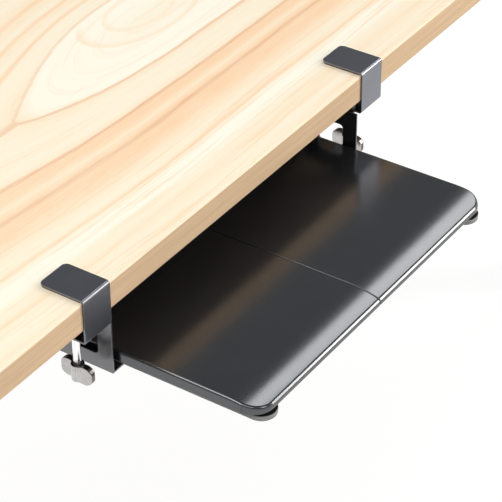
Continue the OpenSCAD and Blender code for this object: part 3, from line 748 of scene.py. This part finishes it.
def tray_path(low, high, start, inset, seam_round):
    """Plan points of a tray half: from the seam round both outer corners and back to the seam."""
    front_x, rear_x = high.x - TRAY_CORNER_R, high.x - TRAY_REAR_R
    front_y, rear_y = low.y + TRAY_CORNER_R, high.y - TRAY_REAR_R
    steps = [start] + [start + share * SEAM_ROUND for share in SEAM_CUTS]
    ends = [round_drop(x - start, SEAM_ROUND) if seam_round else 0.0 for x in steps]
    front = [(x, low.y + inset + end) for x, end in zip(steps, ends)]
    rear = [(x, high.y - inset - end) for x, end in zip(reversed(steps), reversed(ends))]
    side_run = low.y + NOSE_RUN - front_y
    side = [(high.x - inset, front_y + side_run * k / SIDE_STEPS) for k in range(1, SIDE_STEPS + 1)]
    return (front + quarter_circle(front_x, front_y, TRAY_CORNER_R - inset, -QUARTER, CORNER_STEPS) + side
            + quarter_circle(rear_x, rear_y, TRAY_REAR_R - inset, 0.0, REAR_STEPS) + rear)


def once(items):
    """The items once each, in the order in which they first come."""
    return list(dict.fromkeys(items))


def fill_deck(bm, ring, low, start, height):
    """Closes a ring with faces that follow the height function, cut where the surface curves."""
    nose = [low.y + NOSE_RUN * k / NOSE_STEPS for k in range(1, NOSE_STEPS + 1)]
    cuts = [((0.0, y, 0.0), (0.0, 1.0, 0.0)) for y in nose]
    cuts += [((start + share * SEAM_ROUND, 0.0, 0.0), (1.0, 0.0, 0.0)) for share in SEAM_CUTS]
    faces = [bm.faces.new(ring)]
    for place, normal in cuts:
        edges = once(edge for face in faces for edge in face.edges)
        verts = once(vert for face in faces for vert in face.verts)
        geom = verts + edges + faces
        cut = bmesh.ops.bisect_plane(bm, geom=geom, dist=ON_PLANE, plane_co=place, plane_no=normal)
        faces = [item for item in cut["geom"] if isinstance(item, bmesh.types.BMFace)]
    verts = once(vert for face in faces for vert in face.verts)
    for vert in verts:
        vert.co.z = height(vert.co.x, vert.co.y)
    return verts


def along_plane(verts, x):
    """Those of the points that lie at x, from front to rear."""
    return sorted((vert for vert in verts if abs(vert.co.x - x) < ON_PLANE), key=lambda vert: vert.co.y)


def bridge(bm, first, second):
    """Faces between two open rows of points."""
    for k in range(len(first) - 1):
        bm.faces.new((first[k], first[k + 1], second[k + 1], second[k]))


def tray_shell(bm, low, high):
    """Closed skin of a tray half that lies to the right of the seam, with its hollow underside."""
    wall_x = low.x + RIM_T

    def ring(inset, height, start=low.x, seam_round=True):
        points = tray_path(low, high, start, inset, seam_round)
        return [bm.verts.new((x, y, height(x, y))) for x, y in points]

    def level(height):
        return lambda x, y: height

    def deck(x, y):
        return nose_height(y, low.y, high.z) - round_drop(x - low.x, SEAM_ROUND)

    def ceiling(x, y):
        return nose_height(y, low.y, high.z) - SKIN_T

    rings = [ring(inset * FOOT_ROUND, level(low.z + rise * FOOT_ROUND))
             for inset, rise in ((1.0, 0.0), (0.3, 0.3), (0.0, 1.0))]
    for k in range(EDGE_STEPS + 1):
        angle = QUARTER * k / EDGE_STEPS
        lowered = EDGE_ROUND * (1 - math.sin(angle))
        rings.append(ring(EDGE_ROUND * (1 - math.cos(angle)), lambda x, y: deck(x, y) - lowered))
    for first, second in zip(rings, rings[1:]):
        bridge(bm, first, second)
    upper = along_plane(fill_deck(bm, rings[-1], low, low.x, deck), low.x)
    bm.faces.new([r[0] for r in rings[:-1]] + upper + [r[-1] for r in reversed(rings[:-1])])

    foot = ring(RIM_T, level(low.z), wall_x, False)
    roof = ring(RIM_T, ceiling, wall_x, False)
    bridge(bm, rings[0], foot)
    bm.faces.new((rings[0][0], foot[0], foot[-1], rings[0][-1]))
    bridge(bm, foot, roof)
    upper = along_plane(fill_deck(bm, roof, low, wall_x, ceiling), wall_x)
    bm.faces.new([foot[0]] + upper + [foot[-1]])


def prism(bm, outline, axis, start, end):
    """Closed prism from an outline of 3-D points, pushed along one axis from start to end."""
    ends = []
    for place in (start, end):
        row = []
        for point in outline:
            moved = Vector(point)
            moved[axis] = place
            row.append(bm.verts.new(moved))
        ends.append(row)
        bm.faces.new(row)
    for k in range(len(outline)):
        bm.faces.new((ends[0][k - 1], ends[0][k], ends[1][k], ends[1][k - 1]))


def tray_ribs(bm, low, high):
    """Grid of ribs under the surface of a tray half."""
    wall_x = low.x + RIM_T
    foot = low.z + RIB_INSET
    inside = RIM_T / 2
    roof = high.z - SKIN_T / 2
    for k in range(1, RIB_COUNT + 1):
        y = low.y + NOSE_RUN + k * (high.y - low.y - NOSE_RUN) / (RIB_COUNT + 1)
        box = [(wall_x, y, foot), (high.x - inside, y, foot), (high.x - inside, y, roof), (wall_x, y, roof)]
        prism(bm, box, 1, y - RIB_T / 2, y + RIB_T / 2)
        x = wall_x + k * (high.x - wall_x) / (RIB_COUNT + 1)
        outline = [(x, high.y - inside, foot), (x, low.y + inside, foot)]
        for n in range(RIB_STEPS + 1):
            y = low.y + inside + (NOSE_RUN - inside) * n / RIB_STEPS
            outline.append((x, y, nose_height(y, low.y, high.z) - SKIN_T / 2))
        outline.append((x, high.y - inside, roof))
        prism(bm, outline, 0, x - RIB_T / 2, x + RIB_T / 2)


def tray_bosses(bm, side, low, high):
    """Round bosses round the screws of the runners and joiner plates."""
    foot = low.z + RIB_INSET - BOSS_DROP
    radius = BOSS_D / 2
    rows = [(0.0, radius - BOSS_CHAMFER), (BOSS_CHAMFER, radius), (high.z - SKIN_T / 2 - foot, radius)]
    for node in ("joiner_screws", "runner_screws"):
        for first, last in islands(node):
            centre = middle(first, last, foot)
            if (centre.x < 0) == (side == "left"):
                centre.x = abs(centre.x)
                lathe(bm, centre, rows, steps=32)


def tray_half(side):
    """Tray half with rounded edges, a hollow underside, ribs and bosses; the left one is made as a mirror."""
    node = f"tray_{side}_half"
    low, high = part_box(node)
    if side == "left":
        low.x, high.x = -high.x, -low.x
    bm = bmesh.new()
    tray_shell(bm, low, high)
    tray_ribs(bm, low, high)
    tray_bosses(bm, side, low, high)
    if side == "left":
        bmesh.ops.scale(bm, vec=(-1.0, 1.0, 1.0), verts=bm.verts)
    piece = stand_in(node + "_moulded", finish_mesh(bm, node, 40.0), node)
    weighted = piece.modifiers.new("normals", "WEIGHTED_NORMAL")
    weighted.keep_sharp = True
    weighted.weight = 60


def build_pieces():
    """Every visible piece, with the rounding of each one's edges."""
    for node in ("desk_top", "leg_plates"):
        paint(node)
    for side in SIDES:
        dress(side + "_clamp", 0.12 * MM)
        dress(side + "_side_bracket", 0.30 * MM)
        dress(side + "_grip_pad", 0.25 * MM)
        dress(side + "_jaw_nut", 0.35 * MM)
        dress(side + "_pressure_pad", 0.4 * MM)
        wing_knob(side)
        dress(side + "_glide_liner", 0.2 * MM)
        dress(side + "_runner", 0.7 * MM, segments=3)
        tray_half(side)
        dress(side + "_rail", 0.6 * MM)
        clamp_screw(side)
        for end in ENDS:
            dress(f"{end}_{side}_leg", 0.2 * MM)
    for end in ENDS:
        dress(end + "_rail", 0.6 * MM)
        dress(end + "_joiner_plate", 0.25 * MM)
    dress("leg_end_plugs", 0.4 * MM)
    dress("levelling_feet", 0.5 * MM)
    dress("bracket_nuts", 0.3 * MM)
    dress("rear_buffers", 0.5 * MM)
    dress("runner_spacers", 0.4 * MM)
    dress("runner_stops", 0.5 * MM)
    screw_group("leg_screws", head_d=9.5 * MM, head_t=3 * MM, shank_d=5 * MM)
    screw_group("bracket_bolts", head_d=7.6 * MM, head_t=2.4 * MM, shank_d=4 * MM)
    screw_group("joiner_screws", head_d=7.5 * MM, head_t=2 * MM, shank_d=4 * MM)
    screw_group("runner_screws", head_d=7.5 * MM, head_t=2 * MM, shank_d=4 * MM)
    rivets()


# ---- Stage, light and camera ----

# The floor's reach and its gap under the feet, its grey for bounced light, and its grey and glow as seen
FLOOR_R = 30.0
FLOOR_GAP = 0.2 * MM
FLOOR_BOUNCE = 0.55
FLOOR_SHADE = 0.20
FLOOR_GLOW = 0.88

# The dome's light by the height of the direction: white at the horizon, grey and cooler above
DOME_LOW, DOME_HIGH = 0.12, 0.42
HORIZON_LIGHT, DOME_LIGHT = 1.0, 0.27
DOME_TONE = (0.93, 0.97, 1.0)

# The photo's camera, solved from the edges of the clamps, the tray and the top: millimetres for its lens,
# radians for its turns, and its place in metres from the front edge of the desk top
SENSOR = 36.0
LENS = 152.18
CAMERA_YAW, CAMERA_PITCH, CAMERA_ROLL = -0.97321, -0.61987, -0.00696
CAMERA_PLACE = Vector((-1.48455, FRONT_Y - 1.01891, TOP_Z + 1.18677))


def floor():
    """Pale floor: it bounces light as a grey one does, and shows white with the desk's shadow in it."""
    bm = bmesh.new()
    bmesh.ops.create_circle(bm, cap_ends=True, segments=96, radius=FLOOR_R)
    obj = bpy.data.objects.new("studio_floor", finish_mesh(bm, "studio_floor"))
    obj.location.z = cad_box[0][2] - FLOOR_GAP
    bpy.context.scene.collection.objects.link(obj)
    g = Graph("studio_floor")
    path = g.node("ShaderNodeLightPath").outputs
    seen = g.plus(path["Is Camera Ray"], path["Is Glossy Ray"])
    seen = g.plus(seen, path["Is Transmission Ray"], clamp=True)
    bounce = g.node("ShaderNodeBsdfDiffuse")
    bounce.inputs["Color"].default_value = (*(FLOOR_BOUNCE,) * 3, 1.0)
    shaded = g.node("ShaderNodeBsdfDiffuse")
    shaded.inputs["Color"].default_value = (*(FLOOR_SHADE,) * 3, 1.0)
    glow = g.node("ShaderNodeEmission")
    glow.inputs["Strength"].default_value = FLOOR_GLOW
    both = g.node("ShaderNodeAddShader")
    g.feed(both.inputs[0], shaded.outputs[0])
    g.feed(both.inputs[1], glow.outputs[0])
    choice = g.node("ShaderNodeMixShader")
    g.feed(choice.inputs[0], seen)
    g.feed(choice.inputs[1], bounce.outputs[0])
    g.feed(choice.inputs[2], both.outputs[0])
    g.feed(g.tree.nodes["Material Output"].inputs["Surface"], choice.outputs[0])
    obj.data.materials.append(g.material)


def softbox(name, direction, distance, width, height, radiance, roll=0.0, colour=WHITE):
    """Rectangular lamp on the tray from the given direction, turned by roll degrees about its own axis."""
    aim = Vector((0.0, FRONT_Y - 80 * MM, TOP_Z - 90 * MM))
    data = bpy.data.lights.new(name, "AREA")
    data.shape = "RECTANGLE"
    data.size = width
    data.size_y = height
    data.energy = radiance * math.pi * width * height
    data.color = colour
    lamp = bpy.data.objects.new(name, data)
    away = Vector(direction).normalized()
    lamp.location = aim + away * distance
    turned = away.to_track_quat("Z", "Y") @ Quaternion((0.0, 0.0, 1.0), math.radians(roll))
    lamp.rotation_euler = turned.to_euler()
    bpy.context.scene.collection.objects.link(lamp)


def lamps():
    """Lamps whose reflections draw the tray and clamps, and fills for the wood."""
    # The grey band along the tray's nose
    softbox("key", (0.70, 0.052, 0.708), 3.0, 0.65, 1.6, 4.3, roll=-12.0)
    # The tray's left edge and the seam's light edge
    softbox("rim", (-0.61, 0.30, 0.73), 3.0, 1.4, 1.3, 5.2)
    # The white lines along the tray's lip and the clamps' upper bends
    softbox("front_strip", (0.708, -0.6265, 0.315), 6.0, 1.5, 3.3, 12.0, roll=-20.0, colour=WARM_WHITE)
    # The tray's rounded corner
    softbox("overhead", (-0.56, -0.25, 0.79), 3.5, 2.9, 0.8, 3.75)
    # Fills for the top and the front edge
    softbox("top_fill", (-0.20, 0.55, 0.81), 3.5, 1.0, 1.0, 2.0)
    softbox("front_fill", (0.14, -0.75, 0.65), 3.5, 0.9, 0.9, 4.5)


def world():
    """Grey dome with a cool tone, white towards the horizon."""
    made = bpy.data.worlds.new("studio")
    bpy.context.scene.world = made
    made.use_nodes = True
    tree = made.node_tree
    background = tree.nodes["Background"].inputs
    ray = tree.nodes.new("ShaderNodeTexCoord")
    parts = tree.nodes.new("ShaderNodeSeparateXYZ")
    tree.links.new(ray.outputs["Generated"], parts.inputs[0])
    fade = tree.nodes.new("ShaderNodeMapRange")
    fade.interpolation_type = "SMOOTHSTEP"
    limits = {"From Min": DOME_LOW, "From Max": DOME_HIGH, "To Min": HORIZON_LIGHT, "To Max": DOME_LIGHT}
    for key, value in limits.items():
        fade.inputs[key].default_value = value
    tree.links.new(parts.outputs["Z"], fade.inputs["Value"])
    tree.links.new(fade.outputs["Result"], background["Strength"])
    tone = tree.nodes.new("ShaderNodeValToRGB")
    for stop, place, colour in zip(tone.color_ramp.elements, (DOME_LOW, DOME_HIGH), (WHITE, DOME_TONE)):
        stop.position = place
        stop.color = (*colour, 1.0)
    tree.links.new(parts.outputs["Z"], tone.inputs["Fac"])
    tree.links.new(tone.outputs["Color"], background["Color"])


def camera():
    """Three-quarter view from the front left, looking down on the tray and its clamps."""
    data = bpy.data.cameras.new("camera")
    data.lens = LENS
    data.sensor_width = SENSOR
    obj = bpy.data.objects.new("camera", data)
    level = Vector((-math.sin(CAMERA_YAW), math.cos(CAMERA_YAW), 0.0))
    forward = math.cos(CAMERA_PITCH) * level + Vector((0.0, 0.0, math.sin(CAMERA_PITCH)))
    right = Vector((level.y, -level.x, 0.0))
    up = right.cross(forward)
    rolled_right = math.cos(CAMERA_ROLL) * right + math.sin(CAMERA_ROLL) * up
    rolled_up = math.cos(CAMERA_ROLL) * up - math.sin(CAMERA_ROLL) * right
    for row, axis in enumerate((rolled_right, rolled_up, -forward)):
        for column in range(3):
            obj.matrix_world[column][row] = axis[column]
    obj.matrix_world.translation = CAMERA_PLACE
    bpy.context.scene.collection.objects.link(obj)
    bpy.context.scene.camera = obj


camera()
build_pieces()
floor()
lamps()
world()
bpy.context.scene.view_settings.view_transform = "Standard"
